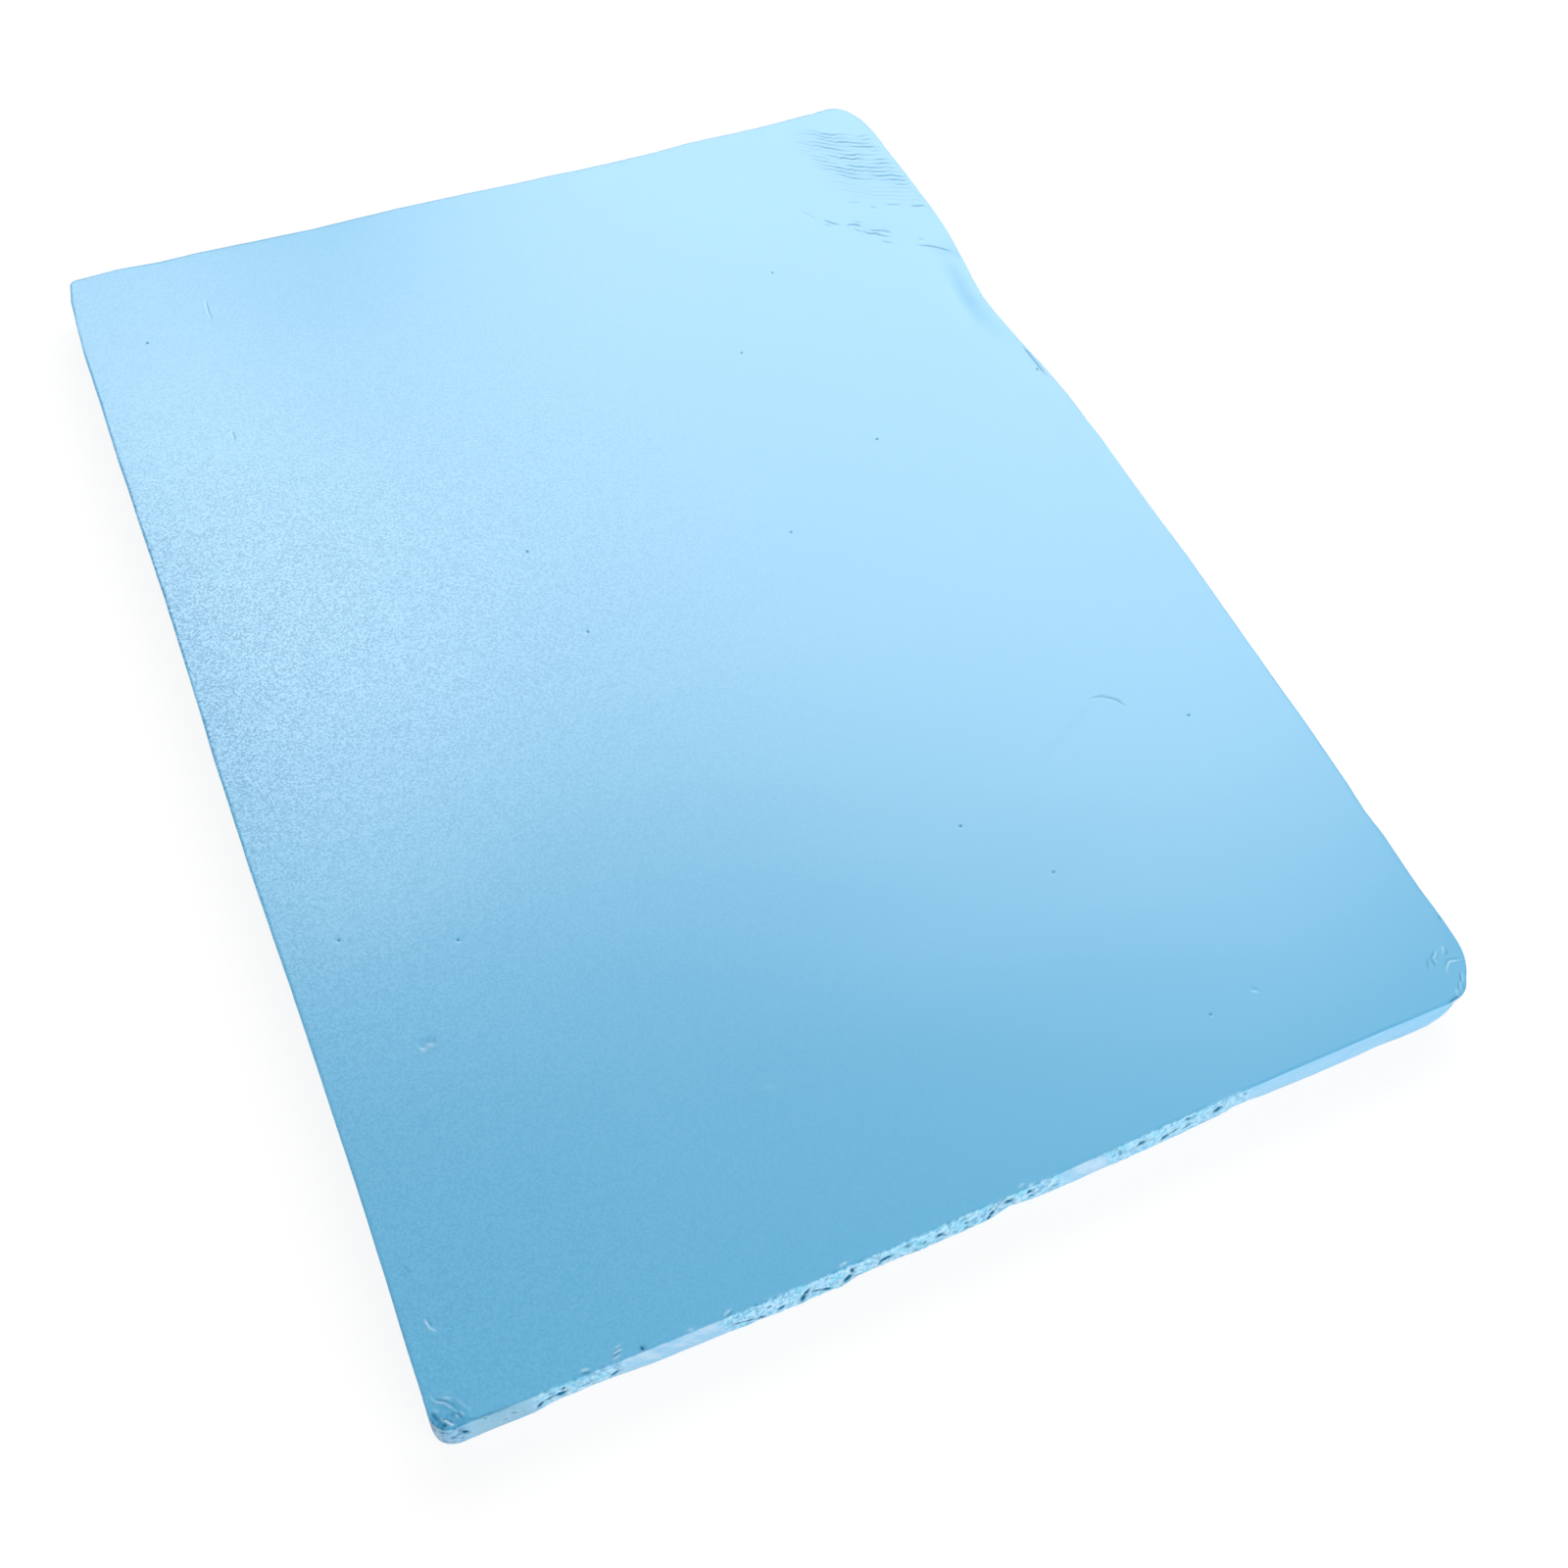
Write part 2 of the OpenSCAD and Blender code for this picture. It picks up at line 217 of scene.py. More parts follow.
def settle(p):
    """Takes points of the plain sheet to their places on the real one."""
    x, y, z = p.T
    from_right, from_left, from_back, from_front = HALF_W - x, HALF_W + x, HALF_L - y, HALF_L + y
    dip = hump(y, HALF_L - DIP_FROM_BACK, DIP_REACH)
    right_in = (
        DIP_DEPTH * dip
        + RIGHT_TAPER * ramp(-y, 0.3 * HALF_L, 0.8 * HALF_L)
        + BACK_TAPER * ramp(y, 0.6 * HALF_L, HALF_L)
    )
    left_in = LEFT_TAPER * ramp(y, 0.8 * HALF_L, HALF_L) + LEFT_BELLY * (1 - hump(y, 0, HALF_L))
    front_in = FRONT_BOW * (1 - hump(x, -HALF_W / 3, HALF_W))
    past_crease = (
        CURL_REACH - from_right * math.sin(CREASE_TURN) - from_back * math.cos(CREASE_TURN)
    )
    lift = CURL_LIFT * np.clip(past_crease / CURL_REACH, 0, 1) ** 1.5
    roll = ROLL_DEPTH * dip * ramp(x, HALF_W - ROLL_REACH, HALF_W)
    foot = knots(x, FOOT) * np.clip(1 - z / FOOT_HEIGHT, 0, 1) ** 1.3

    def bend(gap):
        return 1 - ramp(gap, 0, BEND_REACH)

    def wave(gap):
        return 1 - ramp(gap, 0, WAVE_REACH)

    return np.stack([
        x - right_in * bend(from_right) + left_in * bend(from_left)
        + knots(y, RIGHT_WAVE) * wave(from_right) - knots(y, LEFT_WAVE) * wave(from_left),
        y + front_in * bend(from_front)
        + knots(x, BACK_WAVE) * wave(from_back) + foot * wave(from_front),
        z + lift - roll * z / THICK,
    ], axis=1)


# Lengths of the side wall's parts: half of the top round, the flat wall and the base round
ARC_TOP = TOP_ROUND * math.pi / 4
ARC_WALL = THICK - TOP_ROUND - BASE_ROUND
ARC_BASE = BASE_ROUND * math.pi / 2
ARC_ALL = ARC_TOP + ARC_WALL + ARC_BASE


def wall_profile(arc):
    """Inset, height and tilt of the side wall, at a distance down from the middle of its round."""
    turn = math.pi / 4 + np.clip(arc, 0, ARC_TOP) / TOP_ROUND
    down = np.clip(arc - ARC_TOP, 0, ARC_WALL)
    under = np.clip(arc - ARC_TOP - ARC_WALL, 0, ARC_BASE) / BASE_ROUND
    inset = TOP_ROUND * (1 - np.sin(turn)) + BASE_ROUND * (1 - np.cos(under))
    z = THICK - TOP_ROUND * (1 - np.cos(turn)) - down - BASE_ROUND * np.sin(under)
    return inset, z, turn + under


# ---------- the lattice that the skin is made on ----------
# A cell starts about 8 mm wide, and on the wall as tall as the wall, and is halved up to
# five times. Lattice points are counted in the finest cells.
TOP, WALL, BASE = 0, 1, 2
CELL = 8.0
LEVELS = 5
M = 2 ** LEVELS
NX, NY = round(2 * HALF_W / CELL), round(2 * HALF_L / CELL)
X, Y = NX * M, NY * M
ROUND_TRIP = 2 * (X + Y)
# more than any count of lattice points along a line
KEY_STEP = 100000
# the base's border stands in by its round, and its inner points less, down to none this far in
BASE_INSET_REACH = 30


def place(zone, a, b):
    """Positions and normals of lattice points, and their depths inside the outline.

    On the top and the base, a runs to the right and b to the back. On the wall, a runs round
    the border and b runs down.
    """
    on_wall = zone == WALL
    a = np.where(on_wall, a % ROUND_TRIP, a)
    stretch = [~on_wall, a <= X, a <= X + Y, a <= 2 * X + Y]
    u = np.select(stretch, [a, a, X, 2 * X + Y - a], 0)
    v = np.select(stretch, [b, 0, a - X, Y], ROUND_TRIP - a)
    plain = np.stack([u / X, v / Y], axis=1) * 2 * HALF - HALF
    q = round_corner(plain)
    out, depth = outward_and_depth(q)
    wall_inset, wall_z, wall_tilt = wall_profile(np.where(on_wall, b / M * ARC_ALL, 0))
    turn = math.pi / 4 * (1 - np.clip(depth / TOP_ROUND, 0, 1))
    top_inset = np.where(turn > 0, TOP_ROUND * (1 - np.sin(turn)) - depth, 0)
    base_inset = BASE_ROUND * (1 - np.clip(depth / BASE_INSET_REACH, 0, 1))
    part = [zone == TOP, on_wall]
    inset = np.select(part, [top_inset, wall_inset], base_inset)
    z = np.select(part, [THICK - TOP_ROUND * (1 - np.cos(turn)), wall_z], 0)
    tilt = np.select(part, [turn, wall_tilt], math.pi)
    xy = q - out * inset[:, None]
    normals = np.column_stack([out * np.sin(tilt)[:, None], np.cos(tilt)])
    return settle(np.column_stack([xy, z])), normals, depth


def key(zone, a, b):
    """One number per lattice point. The top and the base share their borders with the wall."""
    border = np.select(
        [b == 0, a == X, b == Y, a == 0], [a, X + b, 2 * X + Y - a, ROUND_TRIP - b], -1
    )
    shared = (zone != WALL) & (border >= 0)
    a = np.where(shared, border, a)
    b = np.where(shared, np.where(zone == BASE, M, 0), b)
    zone = np.where(shared, WALL, zone)
    a = np.where(zone == WALL, a % ROUND_TRIP, a)
    return (zone * KEY_STEP + a) * KEY_STEP + b


# ---------- where the photographed sheet has its marks ----------
# Pits torn into the front face: [x, z, length, width, lean in degrees, depth]
PITS = [
    (-143.1, 9.3, 4.5, 1.4, -75, 2.0), (-138.0, 13.4, 1.8, 0.9, -80, 0.8),
    (-133.8, 6.0, 2.5, 1.3, 80, 0.3), (-131.5, 8.6, 3.0, 1.2, -70, 0.4),
    (-125.2, 5.6, 5.5, 1.5, 72, 1.8), (-122.4, 8.8, 5.0, 1.4, 20, 1.6),
    (-119.9, 8.2, 3.6, 3.3, 70, 1.9), (-119.3, 12.0, 2.5, 1.0, 80, 1.2),
    (-113.8, 7.0, 6.0, 1.3, 0, 1.6), (-106.8, 6.6, 5.8, 2.1, 75, 1.8),
    (-75.4, 6.6, 3.0, 1.5, -30, 1.4), (-72.2, 4.4, 5.0, 1.5, -32, 1.6),
    (-69.0, 2.8, 3.0, 1.3, -40, 1.4), (-67.5, 9.7, 2.6, 1.4, -70, 1.0),
    (-63.8, 4.4, 3.4, 1.6, 70, 1.6), (-57.5, 8.8, 6.0, 1.4, 78, 2.0),
    (-58.2, 4.6, 4.5, 2.0, 85, 2.4), (-54.5, 5.8, 4.5, 1.3, -38, 1.6),
    (-51.6, 3.4, 4.0, 1.4, -35, 1.8), (-45.5, 10.2, 4.5, 1.2, -75, 1.4),
    (-46.2, 5.0, 7.4, 2.9, 80, 2.0), (-36.1, 7.9, 3.9, 4.2, 25, 1.8),
    (-37.3, 5.4, 3.5, 1.1, 65, 1.6), (-30.5, 10.8, 2.2, 1.2, -55, 1.2),
    (-25.0, 6.7, 2.6, 1.4, 80, 1.4), (-20.9, 8.0, 3.2, 2.4, -70, 1.9),
    (-19.3, 6.0, 2.6, 1.1, -55, 1.4), (-13.7, 8.6, 2.0, 1.1, -60, 1.0),
    (-12.8, 4.0, 4.0, 1.2, 90, 1.2), (-7.2, 10.8, 2.5, 1.0, 80, 1.0),
    (-5.9, 6.8, 5.2, 1.8, -85, 1.7), (-5.9, 2.4, 3.6, 1.1, 88, 1.6),
    (-5.0, 13.2, 1.8, 1.0, 60, 0.8), (-1.9, 10.5, 3.8, 2.4, -45, 2.2),
    (4.1, 11.2, 2.6, 1.7, -70, 2.2), (5.6, 6.2, 3.6, 1.4, -50, 1.6),
    (12.4, 6.8, 3.4, 1.3, -30, 0.8), (29.4, 13.3, 1.6, 0.9, -60, 1.2),
    (31.2, 9.5, 4.5, 1.0, -72, 1.0), (38.0, 9.4, 3.5, 3.1, -40, 1.8),
    (35.6, 7.6, 2.0, 1.3, 0, 1.0), (40.8, 8.8, 1.6, 1.1, 0, 0.8),
    (46.0, 5.6, 4.0, 2.5, 75, 1.9), (48.4, 7.2, 3.6, 1.8, 30, 1.3),
    (51.1, 12.2, 3.0, 1.2, -50, 1.4), (53.0, 5.9, 4.0, 1.5, 45, 1.4),
    (61.2, 9.1, 3.9, 3.2, -62, 1.9), (66.3, 12.6, 2.2, 1.2, -60, 1.0),
    (69.0, 12.0, 2.6, 1.0, -70, 0.9), (67.2, 4.2, 3.0, 1.1, 30, 0.9),
]
# Stretches of the front face that are torn: [from, to, strength]
TORN = [(-150, -139, 0.3), (-139, -127, 0.45), (-127, -104, 0.9), (-79, 15, 1.0), (28, 72, 0.9)]
# Broad marks in the top: [bent line, width, depth, painted highlight on its left side, painted
# shade on its right]
MARKS = [
    ([(-107.0, 166.5), (-107.1, 172.5), (-106.5, 179.5)], 0.7, 0.12, 0.35, 0.0),
    ([(-113.6, 111.6), (-113.7, 116.1)], 0.7, 0.12, 0.35, 0.0),
    ([(65.3, -90.6), (79.3, -83.0), (92.0, -76.2)], 2.0, 0.04, 0.0, 0.03),
    ([(92.0, -76.2), (96.0, -76.6), (99.5, -79.5), (101.2, -82.9)], 1.0, 0.15, 0.35, 0.10),
    ([(-124.0, -109.8), (-121.6, -108.4), (-119.2, -108.9)], 2.2, 0.15, 0.1, 0.22),
    ([(85.3, -176.2), (86.9, -177.6)], 0.9, 0.12, 0.15, 0.0),
    ([(-45.4, -154.6), (-47.4, -151.6)], 1.4, -0.12, 0.12, 0.0),
    ([(144.5, 114.1), (142.5, 98.0), (141.8, 85.2)], 5.0, 0.02, 0.0, 0.10),
]
# Fine lines, nicks and cracks in the skin: [bent line, width, tone]. A positive tone is painted
# highlight on a line that stands up a little, a negative one painted shade in a line that is cut
# in.
LINES = [
    ([(-144.4, -160.9), (-143.5, -163.5)], 0.3, -0.25),
    ([(-143.8, -175.3), (-143.3, -177.8), (-142.0, -178.9)], 0.28, 0.8),
    ([(-143.2, -175.5), (-142.7, -177.2)], 0.25, -0.35),
    # the crumpled front left corner
    (
        [(-148.1, -192.0), (-147.2, -194.0), (-145.3, -195.3), (-144.2, -196.7), (-142.8, -198.9)],
        0.22, 0.5,
    ),
    ([(-147.2, -193.3), (-145.0, -194.6), (-143.9, -195.9), (-143.2, -197.2)], 0.25, -0.4),
    ([(-145.4, -193.8), (-144.4, -194.3), (-143.6, -194.6)], 0.35, 0.5),
    ([(-143.0, -195.0), (-142.4, -195.9), (-141.3, -197.7), (-140.6, -198.7)], 0.3, 0.3),
    ([(-148.7, -196.0), (-148.2, -197.3), (-147.7, -198.4)], 0.5, -0.7),
    ([(-148.4, -195.5), (-147.2, -196.3)], 0.3, 0.45),
    ([(-147.9, -197.6), (-146.7, -198.4), (-145.5, -200.0), (-144.5, -200.7)], 0.35, 0.8),
    ([(-147.2, -197.9), (-145.9, -198.7), (-144.7, -200.2)], 0.25, -0.6),
    ([(-147.3, -199.3), (-146.4, -200.0)], 0.4, -0.8),
    ([(-147.4, -199.4), (-147.8, -201.0)], 0.4, -0.6),
    ([(-145.5, -201.3), (-144.6, -201.1)], 0.3, -0.6),
    ([(-144.0, -198.2), (-143.4, -199.2)], 0.3, 0.6),
    ([(-143.6, -198.0), (-143.0, -198.9), (-142.8, -199.6)], 0.25, -0.5),
    ([(-142.6, -198.2), (-142.2, -199.2)], 0.3, 0.5),
    (
        [(-143.0, -200.2), (-141.1, -200.6), (-138.5, -201.1), (-134.0, -201.4), (-129.8, -201.7)],
        0.3, -0.35,
    ),
    # nicks and flaps along the front edge
    ([(-114.8, -200.4), (-112.6, -200.9)], 0.3, 0.8),
    ([(-114.6, -201.0), (-112.6, -201.4)], 0.3, -0.6),
    ([(-106.8, -200.9), (-105.0, -200.4)], 0.3, 0.9),
    ([(-106.6, -200.4), (-104.6, -199.9)], 0.3, -0.6),
    ([(-106.2, -199.9), (-104.3, -199.4)], 0.3, 0.9),
    ([(-105.9, -199.4), (-104.2, -198.9)], 0.25, -0.4),
    ([(-105.6, -198.9), (-104.1, -198.5)], 0.3, 0.6),
    ([(-100.1, -201.2), (-99.3, -201.0)], 0.6, -1.0),
    ([(-88.4, -201.6), (-87.0, -201.8)], 0.4, 0.6),
    ([(-79.2, -201.6), (-77.0, -200.8)], 0.28, 0.8),
    ([(-78.6, -201.9), (-76.9, -201.4)], 0.3, -0.5),
    ([(-49.2, -201.7), (-47.0, -201.3)], 0.28, 0.7),
    ([(0.4, -201.0), (2.4, -200.6)], 0.28, 0.5),
    ([(2.8, -201.9), (4.4, -201.6)], 0.35, 0.7),
    # the cracked front right corner
    ([(142.6, -185.6), (141.2, -187.8)], 0.25, 0.7),
    ([(143.2, -186.8), (141.9, -188.4)], 0.25, -0.3),
    ([(140.2, -186.2), (138.0, -187.8), (137.8, -190.0)], 0.22, 0.5),
    ([(139.4, -186.0), (137.2, -187.6), (137.0, -190.2)], 0.3, -0.3),
    ([(145.0, -191.2), (141.5, -190.3), (139.5, -192.0), (138.8, -193.7)], 0.22, 0.5),
    ([(144.8, -190.5), (141.3, -189.6), (139.6, -190.9)], 0.3, -0.25),
    ([(136.2, -187.2), (134.5, -190.0)], 0.35, -0.25),
    ([(142.8, -194.3), (141.2, -196.9)], 0.22, 0.6),
    ([(142.2, -194.2), (140.7, -196.6)], 0.22, -0.45),
    ([(140.8, -196.3), (139.0, -198.7)], 0.22, 0.5),
    ([(140.2, -196.2), (138.7, -198.4)], 0.22, -0.35),
    ([(138.4, -198.0), (137.2, -199.8)], 0.3, 0.5),
    ([(142.2, -197.4), (138.4, -199.8), (135.7, -200.2), (133.6, -200.6)], 0.35, -0.8),
    ([(147.2, -177.2), (147.0, -178.6)], 0.3, -0.35),
    # the other edges
    ([(146.0, 64.7), (146.2, 56.0), (146.3, 48.6)], 0.4, -0.5),
    ([(131.9, 200.4), (127.7, 200.5)], 0.3, -0.35),
]
# Pinholes in the top: [x, y]
PINHOLES = [
    (78.8, 126.6), (35.7, 15.0), (-43.5, 36.3), (-37.2, 0.6), (78.7, 41.7), (-129.1, 164.0),
    (52.8, 93.6), (35.7, -101.4), (53.1, -124.4), (117.2, -92.1), (71.1, -178.7),
    (-134.0, -72.0), (-105.3, -83.5), (145.0, 52.6),
]
# The short lines that make up the crease of the curled corner, and how strong they are
CREASES = [
    ([(101.5, 153.7), (104.0, 149.9), (105.8, 147.4)], 0.4),
    ([(107.6, 146.4), (109.3, 144.4), (112.1, 142.0)], 0.9),
    ([(106.6, 144.3), (109.4, 142.0)], 0.5),
    ([(114.3, 141.2), (117.2, 140.4), (119.6, 138.6)], 1.0),
    ([(117.1, 141.9), (120.3, 140.4)], 0.5),
    ([(116.1, 138.7), (117.7, 136.1)], 0.5),
    ([(118.5, 137.2), (120.0, 134.1), (122.7, 133.4), (125.1, 130.9), (126.8, 130.4)], 1.0),
    ([(120.4, 136.5), (122.9, 134.9), (125.8, 134.0), (128.4, 131.3)], 0.8),
    ([(122.2, 129.1), (124.2, 127.8), (126.2, 126.6)], 0.6),
    ([(135.7, 125.8), (137.8, 124.8)], 0.5),
    ([(134.1, 122.7), (136.3, 121.9), (140.5, 119.8), (145.6, 116.4)], 1.1),
    ([(119.5, 152.2), (121.7, 151.2), (124.6, 150.4)], 0.5),
    ([(126.4, 147.4), (128.9, 145.6)], 0.5),
    ([(132.7, 146.7), (135.3, 145.1), (138.1, 144.1)], 0.6),
    ([(140.7, 142.6), (146.4, 140.5)], 0.9),
]
CREASE_LINE = [(101.7, 154.7), (119.7, 138.7), (134.7, 125.1), (147.1, 117.0)]
# The wrinkles run across the corner: distance between two, how they slant, how much more they
# slant on the left, and how far forward of the first the last strong one and the last one are.
# The first runs through this point.
FOLD_GAP, FOLD_SLANT, LEFT_SLANT, STRONG_FOLDS, ALL_FOLDS = 2.35, 0.4, 0.3, 27, 40
FOLD_X, FOLD_Y = 130, 187.5
# Where the wrinkles start and end: [distance forward, x]
FOLD_STARTS = [(0, 125), (8, 118), (16, 119), (26, 123), (40, 118)]
FOLD_ENDS = [(0, 143), (14, 143.5), (22, 146), (40, 147)]


# ---------- how fine the lattice is, from place to place ----------
# Widths of the cells in the finest marks, and in the strips round them
FINE, MIDDLING = 0.25, 0.5


def wanted_size(p, depth):
    """How wide a cell may be at each point: wide in the plain middle, fine at the marks."""
    x, y, z = p.T
    on_base = z < 0.01
    inwards = np.where(on_base, 0.7 * np.clip(depth - 3, 0, None), 0)
    below = 0.7 * np.clip(12 - z, 0, None)
    size = np.where(on_base, 8.0, 4.0)
    size = np.minimum(size, 2.0 + 0.7 * np.clip(depth - 2, 0, None))
    rim = np.clip(depth - 1.2, 0, None) + np.clip(13.3 - z, 0, None)
    size = np.minimum(size, MIDDLING + rim)

    def near(distance, fine, rise=0):
        return np.minimum(size, fine + np.clip(distance, 0, None) + inwards + rise)

    size = near(y - FRONT - 6, MIDDLING)
    # the wrinkles, with a strip round them
    forward = FOLD_Y - y - FOLD_SLANT * (x - FOLD_X)
    size = near(np.maximum.reduce([118 - x, x - 146, -forward - 2, forward - 29]), FINE, below)
    size = near(np.maximum.reduce([112 - x, -forward - 4, forward - 42]), MIDDLING, below)
    # the two front corners
    size = near(np.hypot(x + 147, y + 199) - 7, FINE)
    size = near(np.hypot(x - 140, y + 194) - 11, MIDDLING)
    for px, pz, length, width, lean, deep in PITS:
        if deep >= 1.6:
            away = np.hypot(x - px, np.hypot(0.5 * (z - pz), y - FRONT - 1))
            size = near(away - length / 3 - 0.8, FINE)
    # lines in the top: [bent line, how far from it the fine cells reach, how fine]
    lines = [(line, width, FINE if deep > 0.1 else 1.0) for line, width, deep, painted_highlight, painted_shade in MARKS]
    lines += [(line, width + 0.2, FINE) for line, width, tone in LINES]
    lines += [(line, 0.8, FINE) for line, strength in CREASES]
    for line, reach, fine in lines:
        size = near(to_line(p[:, :2], line)[0] - reach, fine, below)
    for px, py in PINHOLES:
        size = near(np.hypot(x - px, y - py) - 0.5, FINE, below)
    return size


# ---------- cells, corners and faces ----------
def build_lattice():
    """Halves cells until they are as fine as wanted. Returns positions, normals and faces."""
    def block(zone, nx, ny=1):
        i, j = np.meshgrid(np.arange(nx), np.arange(ny), indexing="ij")
        return np.column_stack([np.full(i.size, zone), i.ravel() * M, j.ravel() * M])

    cells = np.concatenate([block(TOP, NX, NY), block(WALL, 2 * (NX + NY)), block(BASE, NX, NY)])
    leaves = []
    for level in range(LEVELS + 1):
        step = M >> level
        centre, _, depth = place(cells[:, 0], cells[:, 1] + step / 2, cells[:, 2] + step / 2)
        # 1% over the wanted size still counts as fine enough
        split = (CELL / 2 ** level > 1.01 * wanted_size(centre, depth)) & (step > 1)
        kept = cells[~split]
        leaves.append(np.column_stack([kept, np.full(len(kept), step)]))
        cells = np.concatenate([
            cells[split] + [0, dx * step // 2, dy * step // 2] for dx in (0, 1) for dy in (0, 1)
        ])
    leaves = np.concatenate(leaves)
    zone, a, b, step = leaves.T
    # corners run anticlockwise seen from outside
    order = np.where(zone[:, None] == TOP, [[0, 1, 2, 3]], [[0, 3, 2, 1]])
    da = np.array([0, 1, 1, 0])[order] * step[:, None]
    db = np.array([0, 0, 1, 1])[order] * step[:, None]
    ca, cb = a[:, None] + da, b[:, None] + db
    cz = np.repeat(zone[:, None], 4, axis=1)
    keys, first = np.unique(key(cz, ca, cb), return_index=True)
    points = np.column_stack([m.ravel()[first] for m in (cz, ca, cb)])

    # an edge also takes the corners that finer neighbours have on it
    face = np.repeat(np.arange(len(leaves)), 4)
    share = np.tile(np.arange(4.0), len(leaves))
    entries = [(face, share, key(cz, ca, cb).ravel())]
    edge = [face, share, np.ones(len(face)), cz.ravel(), ca.ravel(), cb.ravel(),
            np.roll(ca, -1, axis=1).ravel(), np.roll(cb, -1, axis=1).ravel()]
    while len(edge[0]):
        face, share, length, ez, a0, b0, a1, b1 = edge
        am, bm = (a0 + a1) // 2, (b0 + b1) // 2
        k = key(ez, am, bm)
        at = np.minimum(np.searchsorted(keys, k), len(keys) - 1)
        found = (keys[at] == k) & (np.abs(a1 - a0) + np.abs(b1 - b0) > 1)
        entries.append((face[found], (share + length / 2)[found], k[found]))
        half = [face, share, length / 2, ez, a0, b0, am, bm]
        rest = [face, share + length / 2, length / 2, ez, am, bm, a1, b1]
        edge = [np.concatenate([h[found], r[found]]) for h, r in zip(half, rest)]
    face, share, k = [np.concatenate(e) for e in zip(*entries)]
    order = np.lexsort((share, face))
    corners = np.searchsorted(keys, k[order])
    counts = np.bincount(face)
    position, normal, _ = place(*points.T)
    return position, normal, corners, counts


# ---------- the marks as displacement of the skin ----------
def wrinkle_height(p):
    """Fine zigzag wrinkles side by side across the curled corner: height, painted shade in the
    valleys and painted highlight on the ridges.
    """
    x, y = p[:, 0], p[:, 1]
    forward = FOLD_Y - y - FOLD_SLANT * (x - FOLD_X) - LEFT_SLANT * np.minimum(x - FOLD_X, 0)
    warp = 0.26 * noise(p, (2.4, 7, 50), 11) + 0.16 * noise(p, (1.1, 5, 50), 12)
    phase = forward / FOLD_GAP + warp
    fold = np.round(phase)
    off = (phase - fold) * FOLD_GAP
    # each wrinkle comes and goes along its length
    along = np.column_stack([x, fold * 9, np.zeros(len(p))])
    strength = np.clip(0.8 + 0.9 * noise(along, (5.5, 4, 9), 13), 0, 1.1)
    start, end = knots(forward, FOLD_STARTS), knots(forward, FOLD_ENDS)
    window = ramp(x, start - 9, start + 5) * (1 - ramp(x, end - 3, end + 2))
    window = window * ramp(forward, -2.0, 0.5)
    window = window * (1 - 0.45 * ramp(forward, STRONG_FOLDS - 3, STRONG_FOLDS + 4))
    window = window * (1 - ramp(forward, ALL_FOLDS - 5, ALL_FOLDS))
    valley = bell(off, 0.27)
    ridge = bell(off - 0.6, 0.32)
    return (
        window * strength * (0.05 * ridge - 0.14 * valley),
        window * (0.02 + 0.36 * strength * valley),
        0.4 * window * strength * ridge,
    )


def crease_height(p):
    """The crease, a shallow valley with short sharp lines in it: height, painted shade in it and
    painted highlight on its ridges.
    """
    xy = p[:, :2]
    d, side, share = to_line(xy, CREASE_LINE)
    height = -0.15 * bell(d, 3.0) * ramp(share, 0, 0.5)
    # a broad painted shade beside the far end of the crease
    painted_shade = 0.10 * bell(d * side + 2, 3.0) * ramp(share, 0.75, 1)
    painted_highlight = np.zeros(len(p))
    wobble = 0.25 * noise(p, (2.2, 2.2, 50), 21)
    for line, strength in CREASES:
        d, side, share = to_line(xy, line)
        off = -side * d + wobble
        ends = fade_ends(share, 4)
        valley = ends * strength * bell(off, 0.38) * (d < 2)
        ridge = ends * strength * bell(off - 0.9, 0.45) * (d < 2)
        height = height + 0.05 * ridge - 0.15 * valley
        painted_shade = np.maximum(painted_shade, 0.38 * valley)
        painted_highlight = np.maximum(painted_highlight, 0.25 * ridge)
    return height, painted_shade, painted_highlight


